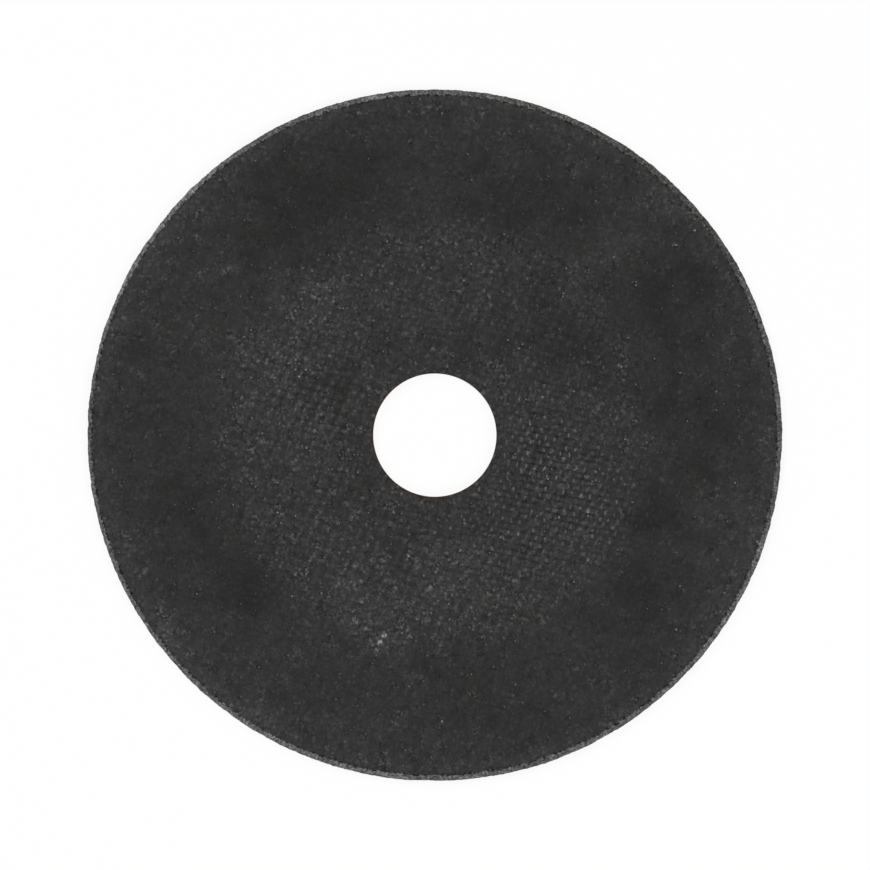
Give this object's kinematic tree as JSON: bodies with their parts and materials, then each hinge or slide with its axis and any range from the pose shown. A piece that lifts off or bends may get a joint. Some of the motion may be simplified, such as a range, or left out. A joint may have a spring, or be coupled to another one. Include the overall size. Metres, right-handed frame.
{
  "type": "cut off wheel",
  "caption": "Flat reinforced resin-bonded abrasive disc with a steel centre ring, for cutting metal with an angle grinder.",
  "frame": {"origin": "on the wheel's axis, at the underside that it lies on, which is the flange side of the centre ring", "axes": "+Z along the axis, out of the bare woven face that the picture shows; +X and +Y are the picture's right and up"},
  "size_m": [0.125, 0.125, 0.0016],
  "materials": {
    "abrasive": "matte charcoal grain and resin with a woven mesh imprint",
    "ring_steel": "dull tinned sheet steel"
  },
  "bodies": {
    "root": {"abrasive_disc": "abrasive", "centre_ring": "ring_steel"}
  },
  "joints": []
}
